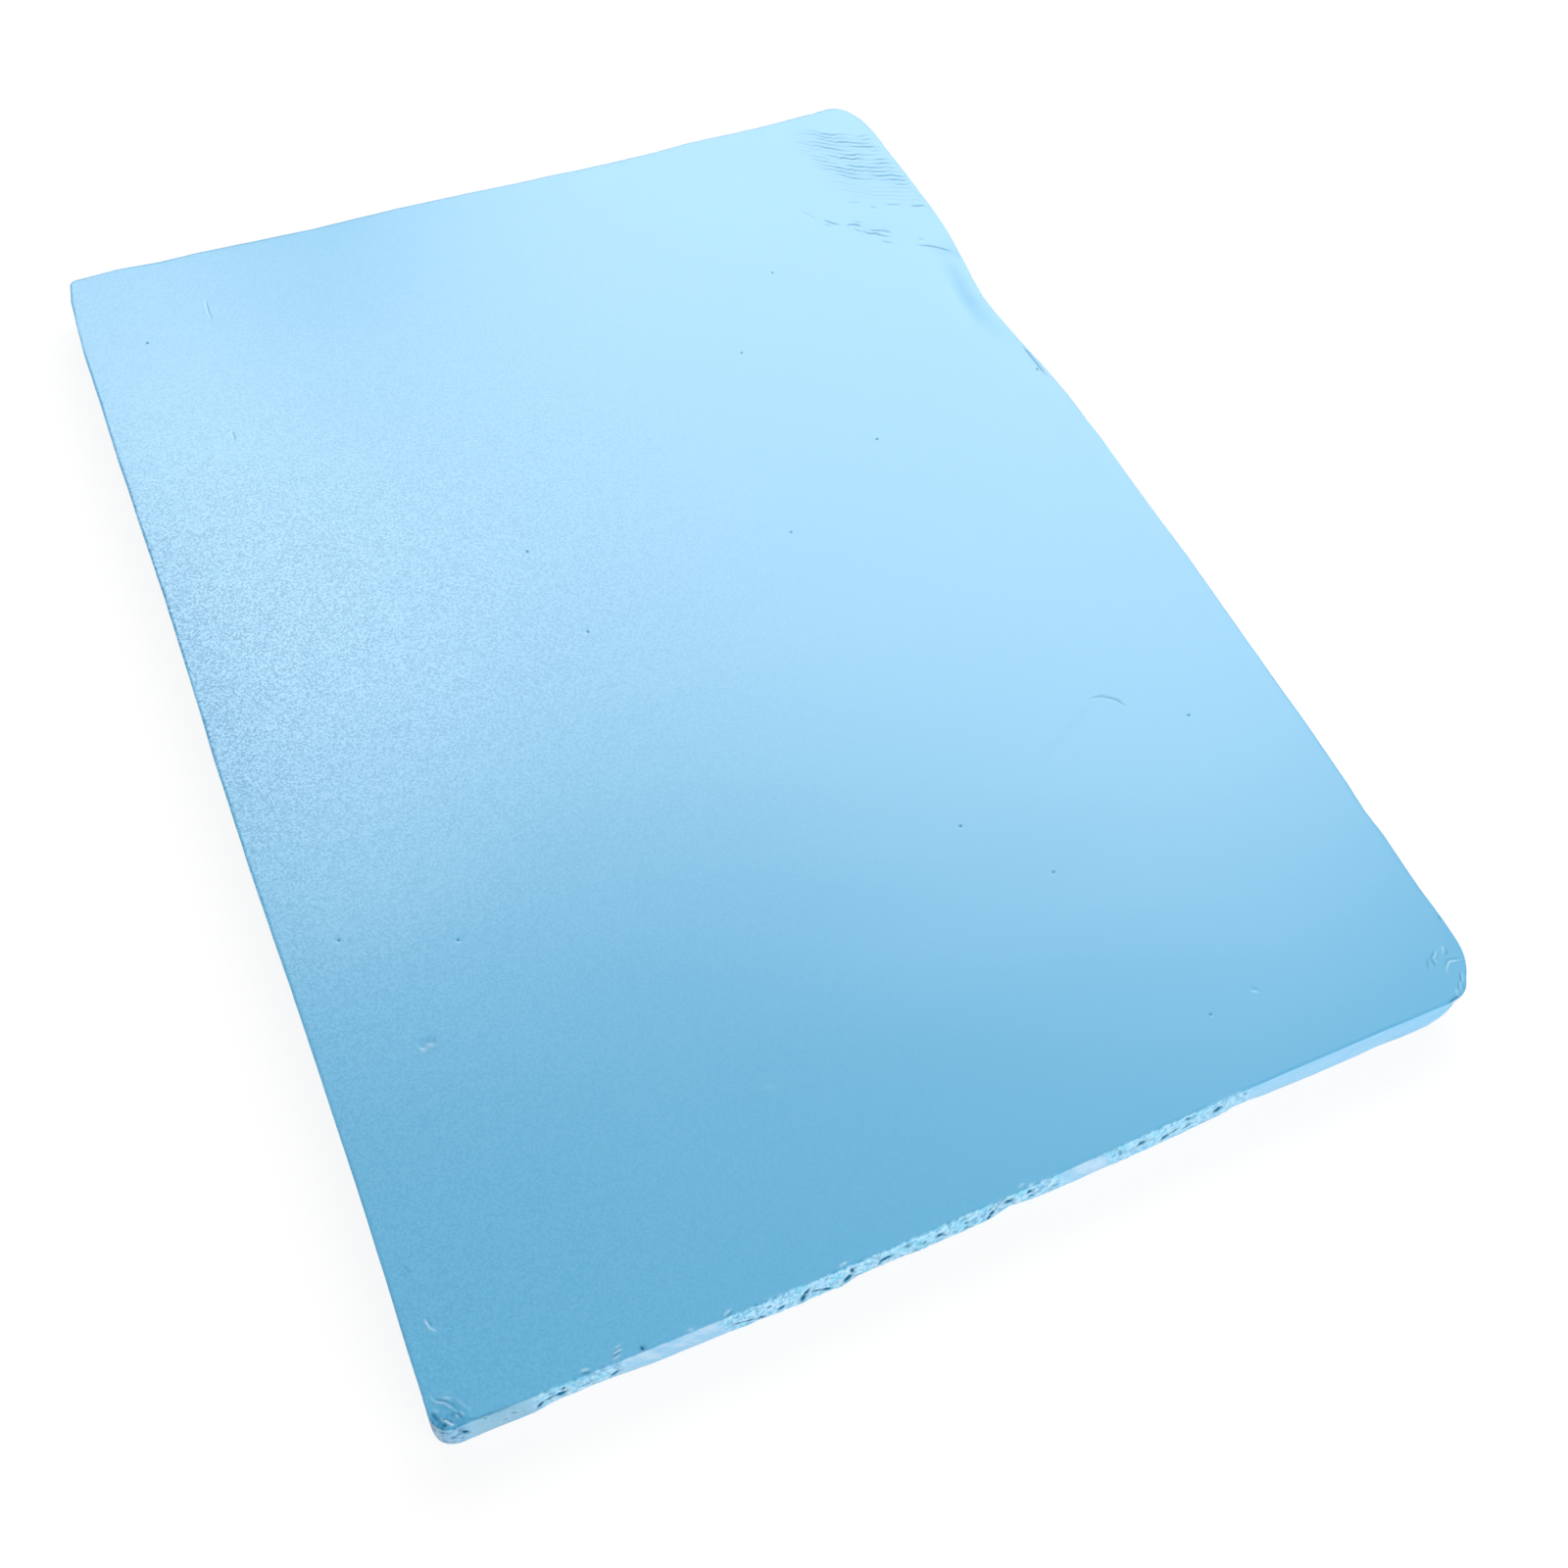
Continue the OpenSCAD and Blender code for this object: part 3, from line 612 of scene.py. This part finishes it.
def face_height(p, normal):
    """The front face: shreds where it is torn, with ragged pits between them.

    Returns the height, how torn each point is, the painted shade in the pits, round them and in
    the gaps between the shreds, how near the rim of a pit each point is, and how much it belongs to
    the front face.
    """
    x, y, z = p.T
    facing = ramp(-normal[:, 1], 0.25, 0.7)
    # the torn stretches end on a ragged slant
    slope = 0.2 + 0.4 * ramp(x, -70, -20)
    leaning = x + slope * (z - THICK / 2) + 1.5 * noise(p, (2.5, 9, 5), 30)
    torn = np.zeros(len(p))
    for start, end, strength in TORN:
        inside = ramp(leaning, start - 3, start + 3) * (1 - ramp(leaning, end - 4, end + 4))
        torn = np.maximum(torn, strength * inside)
    torn = torn * facing
    slant = np.column_stack([x + 0.3 * z, y, z])
    shreds = ridged(slant, (3.0, 4, 6.0), 31, 3)
    lumps = fbm(p, (5.0, 4.0, 6.0), 35, 3)
    height = torn * (0.24 * (shreds - 0.72) + 0.08 * lumps) + 0.04 * facing * lumps
    # gaps between the shreds sink in a little and get painted shade
    shaded_gaps = ramp(ridged(slant, (2.2, 2, 4.0), 41, 2), 0.60, 0.40) * torn
    height = (height - 0.12 * shaded_gaps) * ramp(z, -2.5, 2.0)
    pit_shade = np.zeros(len(p))
    rim = np.zeros(len(p))
    for px, pz, length, width, lean, deep in PITS:
        c, s = math.cos(math.radians(lean)), math.sin(math.radians(lean))
        a = (x - px) * c + (z - pz) * s
        b = (z - pz) * c - (x - px) * s
        ragged = 0.25 * noise(p, (1.6, 9, 2.4), 51 + int(abs(px)))
        ragged = ragged + 0.15 * noise(p, (0.7, 9, 1.2), 52)
        # 1 on the outline of the pit, before the ragged part
        e = np.hypot(a / (length / 2), b / (width / 2)) + ragged
        pocket = (1 - ramp(e, 0.45, 1.25)) * facing
        # painted shade in each pit, and a fainter painted shade in a halo round it
        shade_halo = 0.15 * deep * (1 - ramp(e, 0.8, 2.2)) * facing
        pit_shade = np.maximum.reduce([pit_shade, pocket * np.clip(0.3 + deep / 2.4, 0, 1), shade_halo])
        height = height - 0.07 * deep * pocket
        rim = np.maximum(rim, bell(e - 1.7, 0.35) * facing)
    height = height + 0.06 * rim
    return height, torn, np.clip(pit_shade + 0.35 * shaded_gaps, 0, 1), rim, facing


def front_left_shape(p, normal):
    """The front left corner: crumpled fine, and a little fuller on its left side.

    Returns the crumples' height, how far the wall is pushed out, and the shade and the shine
    of the folds.
    """
    z = p[:, 2]
    d = np.hypot(p[:, 0] + 148, p[:, 1] + 201)
    near = 1 - ramp(d, 3, 7.5)
    upright = np.maximum(ramp(np.hypot(normal[:, 0], normal[:, 1]), 0.3, 0.8), 0.5)
    folds = ridged(p, (1.8, 1.8, 1.4), 61, 2)
    crumple = 0.22 * near * upright * (folds - 0.6) + 0.12 * near * fbm(p, (2.4, 2.4, 2.4), 64, 2)
    to_left = ramp(-normal[:, 0], 0, 0.8)
    fuller = 0.45 * to_left * (1 - ramp(d, 2, 8)) * ramp(z, 15, 9) * ramp(z, -1.5, 2.5)
    shade = near * upright * ramp(folds, 0.66, 0.48)
    shine = near * upright * ramp(folds, 0.80, 0.92)
    return crumple, fuller, shade, shine


def front_right_shape(p, normal):
    """The front right corner: a narrow groove under the lip of the skin, and a full wall below.

    Returns how far the wall is pushed out, and how much each point lies in the groove, where shadow
    under the lip is painted.
    """
    x, y, z = p.T
    turn = np.degrees(np.arctan2(normal[:, 1], normal[:, 0]))
    upright = ramp(np.hypot(normal[:, 0], normal[:, 1]), 0.4, 0.8)
    corner = (x > 100) * (y < -150)
    sector = hump(turn, -60, 30) * upright * corner
    lip = 12.6 + 0.7 * noise(p, (3.0, 3.0, 50), 71)
    groove = ramp(z, lip, lip - 0.8) * ramp(z, lip - 3.4, lip - 1.6)
    foot = np.clip(1 - z / 4.0, 0, 1) ** 1.5
    bulge = hump(turn, -78, 30) * ramp(x, 124, 134) * (y < -150) * hump(z, 7.5, 6.5)
    tongue = hump(turn, -60, 18) * corner * ramp(z, 11.5, 13)
    return 0.5 * bulge + 0.75 * tongue - sector * (1.1 * groove + 1.0 * foot), sector * groove


def displace(p, normal):
    """Returns the moved points and the masks that the material reads."""
    x, y, z = p.T
    xy = p[:, :2]
    top = ramp(normal[:, 2], 0.5, 0.9)
    side = ramp(np.hypot(normal[:, 0], normal[:, 1]), 0.3, 0.9)
    height = top * 0.10 * fbm(p, (70, 50, 70), 1, 2) * ramp(HALF_W - np.abs(x), 0, 12)
    height = height + side * (0.10 * fbm(p, (13, 13, 30), 2, 2) + 0.03 * fbm(p, (3, 3, 3), 3, 2))

    wrinkle, wrinkle_shade, wrinkle_highlight = wrinkle_height(p)
    crease, crease_shade, crease_highlight = crease_height(p)
    height = height + top * (wrinkle + crease)
    # painted shade in the valleys of the wrinkles and the crease, painted highlight on their ridges
    painted_shade = top * np.maximum(wrinkle_shade, crease_shade)
    painted_highlight = top * np.maximum(wrinkle_highlight, crease_highlight)

    upper = z > 10
    # each mark gets painted highlight on one side and painted shade on the other
    for line, width, deep, painted_lit_side, shade in MARKS:
        d, hand, share = to_line(xy, line)
        off = hand * d
        ends = fade_ends(share, 5, 0.2) * upper
        height = height - ends * deep * bell(d, 0.5 * width)
        painted_highlight = np.maximum(painted_highlight, ends * painted_lit_side * bell(off - 0.3 * width, 0.5 * width))
        painted_shade = np.maximum(painted_shade, ends * shade * bell(off + 0.5 * width, 0.6 * width))
    # each pinhole sinks in and gets painted shade
    for px, py in PINHOLES:
        hole = bell(np.hypot(x - px, y - py), 0.32) * upper
        height = height - 0.3 * hole
        painted_shade = np.maximum(painted_shade, 0.55 * hole)
    # the lines end at the rim and don't run down the wall
    rim_and_top = np.maximum(top * upper, ramp(z, 13.2, 14.6))
    # a raised line gets painted highlight, a cut-in line gets painted shade
    for line, width, tone in LINES:
        d, _, share = to_line(xy, line)
        mark = bell(d + 0.1 * noise(p, (0.9, 0.9, 9), 81), width)
        mark = mark * fade_ends(share, 6, 0.35) * rim_and_top
        height = height + 0.16 * tone * mark
        painted_highlight = np.maximum(painted_highlight, tone * mark)
        painted_shade = np.maximum(painted_shade, -tone * mark)

    face, torn, pit_shade, rim, facing = face_height(p, normal)
    crumple, fuller, shade, shine = front_left_shape(p, normal)
    pushed, lip_shadow = front_right_shape(p, normal)
    height = height + face + crumple
    # painted shade in pits, gaps, folds and under the lip of the front right corner
    painted_shade = np.clip(np.maximum.reduce([painted_shade, pit_shade, 0.8 * shade, 0.8 * lip_shadow]), 0, 1)
    # painted highlight on the rims of the pits and on the folds
    painted_highlight = np.maximum.reduce([painted_highlight, 0.7 * rim * torn, 0.4 * shine])
    painted_highlight = np.clip(painted_highlight * (1 - painted_shade), 0, 1)

    moved = p + normal * height[:, None]
    flat = normal * [1, 1, 0]
    flat = flat / np.maximum(np.linalg.norm(flat, axis=1), 1e-6)[:, None]
    moved = moved + flat * (pushed + fuller)[:, None]
    moved[:, 2] = np.maximum(moved[:, 2], 0)
    return moved, {"torn": torn, "face": facing, "painted_shade": painted_shade, "painted_highlight": painted_highlight}


# Edges that bend more than this are shaded sharp
SHARP_FROM = math.radians(35)


def build_sheet():
    """Makes the mesh, with the masks as attributes of its points."""
    p, normal, corners, counts = build_lattice()
    moved, masks = displace(p, normal)
    me = bpy.data.meshes.new("foam_sheet")
    me.vertices.add(len(moved))
    me.vertices.foreach_set("co", (moved * MM).ravel())
    me.loops.add(len(corners))
    me.loops.foreach_set("vertex_index", corners)
    me.polygons.add(len(counts))
    me.polygons.foreach_set("loop_start", np.concatenate([[0], np.cumsum(counts)[:-1]]))
    me.polygons.foreach_set("use_smooth", np.ones(len(counts), bool))
    me.update(calc_edges=True)
    me.validate()
    me.set_sharp_from_angle(angle=SHARP_FROM)
    for name, values in masks.items():
        layer = me.attributes.new(name, "FLOAT", "POINT")
        layer.data.foreach_set("value", values.astype(np.float32))
    print("foam_sheet:", len(moved), "points,", int((counts - 2).sum()), "triangles")
    piece = bpy.data.objects.new("foam_sheet", me)
    bpy.context.scene.collection.objects.link(piece)
    return piece


# ---------- materials ----------
class Nodes:
    """A short way to write the node tree of a material or a world."""

    def __init__(self, owner):
        owner.use_nodes = True
        self.tree = owner.node_tree
        self.tree.nodes.clear()

    def fill(self, socket, value):
        """Links a node's output to the socket, or sets the socket to a constant."""
        if isinstance(value, bpy.types.NodeSocket):
            self.tree.links.new(value, socket)
        else:
            socket.default_value = value

    def add(self, kind, _out=0, **inputs):
        """Adds a node and returns its output of this name or number.

        A keyword sets the node's property, or else its input. i2 is its input number 2.
        """
        node = self.tree.nodes.new("ShaderNode" + kind)
        for name, value in inputs.items():
            if hasattr(node, name):
                setattr(node, name, value)
            elif name[1:].isdigit():
                self.fill(node.inputs[int(name[1:])], value)
            else:
                self.fill(node.inputs[name.replace("_", " ")], value)
        return node.outputs[_out] if node.outputs else None

    def math(self, operation, a, b=0.0, clamp=False):
        return self.add("Math", operation=operation, use_clamp=clamp, i0=a, i1=b, i2=0.0)

    def plus(self, a, b, clamp=False):
        return self.math("ADD", a, b, clamp)

    def minus(self, a, b, clamp=False):
        return self.math("SUBTRACT", a, b, clamp)

    def times(self, a, b, clamp=False):
        return self.math("MULTIPLY", a, b, clamp)

    def either(self, a, b):
        return self.math("MAXIMUM", a, b)

    def between(self, value, low, high, to_low=0.0, to_high=1.0):
        return self.add("MapRange", i0=value, i1=low, i2=high, i3=to_low, i4=to_high)

    def vector(self, x, y, z):
        return self.add("CombineXYZ", X=x, Y=y, Z=z)

    def mix(self, share, a, b):
        node = self.tree.nodes.new("ShaderNodeMix")
        node.data_type = "RGBA"
        for index, value in ((0, share), (6, a), (7, b)):
            self.fill(node.inputs[index], value)
        return node.outputs[2]

    def noise(self, vector, scale, detail=2.0, rough=0.5):
        return self.add("TexNoise", Vector=vector, Scale=scale, Detail=detail, Roughness=rough)


# Colours of the foam
SKIN_DEEPER, SKIN_PALER = (0.129, 0.441, 0.690, 1), (0.136, 0.455, 0.704, 1)
# Pale and deep specks of the grain, partly painted glints and painted shade of its tiny relief
GRAIN_AND_GLINT_PALE, GRAIN_AND_SHADE_DEEP = (0.25, 0.56, 0.80, 1), (0.05, 0.27, 0.50, 1)
CHALK = (0.44, 0.60, 0.74, 1)
# Torn foam: pale shreds, painted shade in the gaps between them, teal patches
TORN_PALE, TORN_GAP_SHADE = (0.42, 0.72, 0.89, 1), (0.035, 0.32, 0.55, 1)
TORN_TEAL = (0.08, 0.51, 0.71, 1)
DULL_END, FULL_END = (0.105, 0.36, 0.54, 1), (0.085, 0.41, 0.68, 1)
LEFT_CORNER = (0.06, 0.33, 0.57, 1)
# Painted highlight and painted shade of the marks, wrinkles, pits and cuts
PAINTED_HIGHLIGHT_COLOUR, PAINTED_SHADE_COLOUR = (0.55, 0.78, 0.90, 1), (0.001, 0.100, 0.210, 1)
# Heights of the bump, in metres
GRAIN_HEIGHT, STREAK_HEIGHT, SHRED_HEIGHT = 0.00006, 0.00003, 0.0002
# The coarse grain lies in a belt across the left part: its middle in y and its width, in metres
BELT_Y, BELT_WIDTH = 0.035, 0.083
# Below 0.28 the denoiser makes spots darker than the skin
SKIN_ROUGH, SKIN_ROUGHER, TORN_ROUGHER = 0.28, 0.31, 0.12


def foam_material():
    """The skin, and the torn foam in the front face. Places are in metres."""
    material = bpy.data.materials.new("foam_skin")
    n = Nodes(material)
    where = n.add("TexCoord", _out="Object")
    x, y, z = [n.add("SeparateXYZ", _out=axis, Vector=where) for axis in "XYZ"]
    # of the four masks from the mesh, the last two are painted shade and painted highlight
    torn, face, painted_shade, painted_highlight = [
        n.add("Attribute", _out="Fac", attribute_name=name)
        for name in ("torn", "face", "painted_shade", "painted_highlight")
    ]
    face = n.times(face, n.between(x, -0.145, -0.140))

    # the skin's fine grain is coarse on the left, and dies out to the right, front and back
    to_left = n.between(x, 0.04, -0.15)
    off = n.math("DIVIDE", n.minus(y, BELT_Y), BELT_WIDTH)
    belt = n.math("EXPONENT", n.times(n.times(off, off), -1.0))
    coarse = n.times(to_left, n.plus(belt, 0.22))
    speck = n.noise(where, 1700.0, 2.0, 0.6)
    # the pale specks are partly painted glints, the deep ones partly painted shade
    light = n.times(n.between(speck, 0.50, 0.61, 0.0, 0.75), coarse, clamp=True)
    deep = n.times(n.between(speck, 0.51, 0.40, 0.0, 0.95), coarse, clamp=True)
    # faint streaks bend round like rings about a far point in front on the left
    bend = n.times(n.math("POWER", n.math("MAXIMUM", n.plus(x, 0.1), 0.0), 2.0), 0.55)
    across = n.plus(n.plus(y, bend), n.times(n.noise(where, 45.0), 0.006))
    streaks = n.noise(n.vector(n.times(x, 0.12), across, 0.0), 420.0, 2.0, 0.55)

    # the front face: chalky streaks where it is whole, and shreds where it is torn
    chalk = n.noise(n.vector(n.plus(x, n.times(z, 0.5)), y, n.times(z, 0.3)), 190.0, 3.0, 0.6)
    whole = n.times(n.minus(face, torn, clamp=True), n.between(x, 0.05, 0.03))
    chalky = n.times(whole, n.between(chalk, 0.44, 0.58, 0.0, 0.55))
    shreds = n.noise(n.vector(x, y, n.times(z, 0.45)), 800.0, 3.0, 0.65)
    worn = n.times(torn, n.between(shreds, 0.44, 0.59, 0.0, 0.8))
    shaded_gaps = n.times(torn, n.between(shreds, 0.49, 0.37, 0.0, 0.9))
    teal = n.times(torn, n.between(n.noise(where, 200.0), 0.52, 0.64, 0.0, 0.6))
    dull_end = n.times(face, n.between(x, -0.124, -0.129, 0.0, 0.9))
    full_end = n.times(face, n.between(x, 0.095, 0.125, 0.0, 0.6))
    corner = n.times(n.between(x, -0.1405, -0.1435), n.between(y, -0.193, -0.199, 0.0, 0.8))

    colour = n.mix(n.noise(where, 14.0, 3.0), SKIN_DEEPER, SKIN_PALER)
    # the mixes include painted glints, painted shade in the gaps, and the painted highlight and
    # shade of the marks
    for share, tone in (
        (light, GRAIN_AND_GLINT_PALE), (deep, GRAIN_AND_SHADE_DEEP), (chalky, CHALK), (worn, TORN_PALE),
        (shaded_gaps, TORN_GAP_SHADE), (teal, TORN_TEAL), (dull_end, DULL_END), (full_end, FULL_END),
        (corner, LEFT_CORNER), (n.times(painted_highlight, 0.6), PAINTED_HIGHLIGHT_COLOUR), (n.times(painted_shade, 0.95), PAINTED_SHADE_COLOUR),
    ):
        colour = n.mix(share, colour, tone)

    grain = n.noise(where, 1500.0, 2.0, 0.6)
    relief = n.times(n.times(grain, coarse), GRAIN_HEIGHT)
    relief = n.plus(relief, n.times(n.times(streaks, to_left), STREAK_HEIGHT))
    relief = n.plus(relief, n.times(n.times(shreds, torn), SHRED_HEIGHT))
    bump = n.add("Bump", Height=relief, Distance=1.0, Strength=1.0)
    rough = n.between(n.noise(where, 260.0, 3.0), 0.25, 0.75, SKIN_ROUGH, SKIN_ROUGHER)
    rough = n.plus(rough, n.times(torn, TORN_ROUGHER), clamp=True)
    # broken cells and cuts shine less than the skin, and the shine is taken down wherever shade is
    # painted
    gloss = n.minus(0.5, n.times(painted_shade, 0.55), clamp=True)
    shader = n.add(
        "BsdfPrincipled", Base_Color=colour, Roughness=rough, Normal=bump, IOR=1.6,
        Specular_IOR_Level=gloss,
    )
    n.add("OutputMaterial", Surface=shader)
    return material


# ---------- studio ----------
WORLD_LIGHT = 0.12
# Reflections see a white world up to this height above the horizon
WHITE_UP_TO, PLAIN_FROM = 0.35, 0.55
# Where the floor is seen, its own colour is dimmed and it glows instead, more so far off
FLOOR_HALF, FLOOR_DIM, NEAR_GLOW, FAR_GLOW = 12.0, 0.14, 0.89, 0.98
# [name, azimuth, elevation, distance, width, height, radiance, mirrored in the skin], in
# degrees and metres. Azimuth 0 is behind the sheet. The fills stand low and would clip to
# white where the skin mirrors them, so it doesn't.
LIGHTS = [
    ("key_behind", -4, 47, 2.5, 0.5, 1.2, 7.8, True),
    ("key_right", 36, 43, 2.5, 2.0, 1.55, 5.6, True),
    ("fill_front", 156, 17, 2.0, 1.8, 0.9, 7.1, False),
    ("fill_left", 265, 10, 2.0, 1.6, 0.6, 2.6, False),
]


def light_path(n):
    """Whether a ray comes from the camera, from a reflection, or through glass."""
    path = n.add("LightPath", _out="Is Camera Ray").node
    return [path.outputs["Is %s Ray" % kind] for kind in ("Camera", "Glossy", "Transmission")]


def floor_material():
    """Pale floor. Seen straight or in a reflection it is white, with a faint soft shadow."""
    material = bpy.data.materials.new("studio_floor")
    n = Nodes(material)
    camera, mirrored, through = light_path(n)
    seen = n.either(n.either(camera, mirrored), through)
    where = n.add("TexCoord", _out="Object")
    tone = n.between(n.noise(where, 3.0), 0.3, 0.7, 0.89, 0.91)
    tone = n.times(tone, n.between(seen, 0.0, 1.0, 1.0, FLOOR_DIM))
    diffuse = n.add("BsdfDiffuse", Color=n.add("CombineColor", Red=tone, Green=tone, Blue=tone))
    away = n.add("VectorMath", _out="Value", operation="LENGTH", i0=where)
    strength = n.between(away, 0.8, 3.0, NEAR_GLOW, FAR_GLOW)
    glow = n.add("Emission", Color=(1, 1, 1, 1), Strength=n.times(seen, strength))
    n.add("OutputMaterial", Surface=n.add("AddShader", i0=diffuse, i1=glow))
    return material


def build_floor():
    me = bpy.data.meshes.new("studio_floor")
    s = FLOOR_HALF
    me.from_pydata([(-s, -s, 0), (s, -s, 0), (s, s, 0), (-s, s, 0)], [], [(0, 1, 2, 3)])
    me.materials.append(floor_material())
    floor = bpy.data.objects.new("studio_floor", me)
    bpy.context.scene.collection.objects.link(floor)


def add_light(name, azimuth, elevation, distance, width, height, radiance, mirrored):
    """A soft box that looks at the middle of the sheet."""
    az, el = math.radians(azimuth), math.radians(elevation)
    way = Vector((math.sin(az) * math.cos(el), math.cos(az) * math.cos(el), math.sin(el)))
    data = bpy.data.lights.new(name, "AREA")
    data.shape = "RECTANGLE"
    data.size, data.size_y = width, height
    data.energy = radiance * math.pi * width * height
    lamp = bpy.data.objects.new(name, data)
    lamp.visible_glossy = mirrored
    lamp.location = way * distance
    lamp.rotation_euler = (-way).to_track_quat("-Z", "Y").to_euler()
    bpy.context.scene.collection.objects.link(lamp)


def build_world():
    """White to the camera, through glass and in low reflections. Otherwise a plain dim light."""
    world = bpy.data.worlds.new("studio")
    n = Nodes(world)
    camera, mirrored, through = light_path(n)
    up = n.add("SeparateXYZ", _out="Z", Vector=n.add("TexCoord", _out="Generated"))
    mirrored = n.times(mirrored, n.between(up, PLAIN_FROM, WHITE_UP_TO))
    white = n.either(n.either(camera, through), mirrored)
    strength = n.between(white, 0.0, 1.0, WORLD_LIGHT, 1.0)
    background = n.add("Background", Color=(1, 1, 1, 1), Strength=strength)
    n.add("OutputWorld", Surface=background)
    bpy.context.scene.world = world


# The photograph's camera, fitted to the sheet's edges, in metres
CAMERA_AT = Vector((-0.14148, -0.30478, 0.42707))
CAMERA_AHEAD = Vector((0.27691, 0.47546, -0.83502))
CAMERA_UP = Vector((0.30716, 0.7796, 0.54577))
SENSOR, LENS, CLIP_START = 36, 40, 0.02


def build_camera():
    data = bpy.data.cameras.new("camera")
    data.sensor_width, data.lens, data.clip_start = SENSOR, LENS, CLIP_START
    camera = bpy.data.objects.new("camera", data)
    ahead = CAMERA_AHEAD.normalized()
    up = (CAMERA_UP - ahead * CAMERA_UP.dot(ahead)).normalized()
    right = ahead.cross(up)
    turn = Matrix((right, up, -ahead)).transposed().to_4x4()
    camera.matrix_world = Matrix.Translation(CAMERA_AT) @ turn
    bpy.context.scene.collection.objects.link(camera)
    bpy.context.scene.camera = camera


sheet = build_sheet()
sheet.data.materials.append(foam_material())
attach(sheet, "root")
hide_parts("foam_block")
build_floor()
for light in LIGHTS:
    add_light(*light)
build_world()
build_camera()
bpy.context.scene.view_settings.view_transform = "Standard"
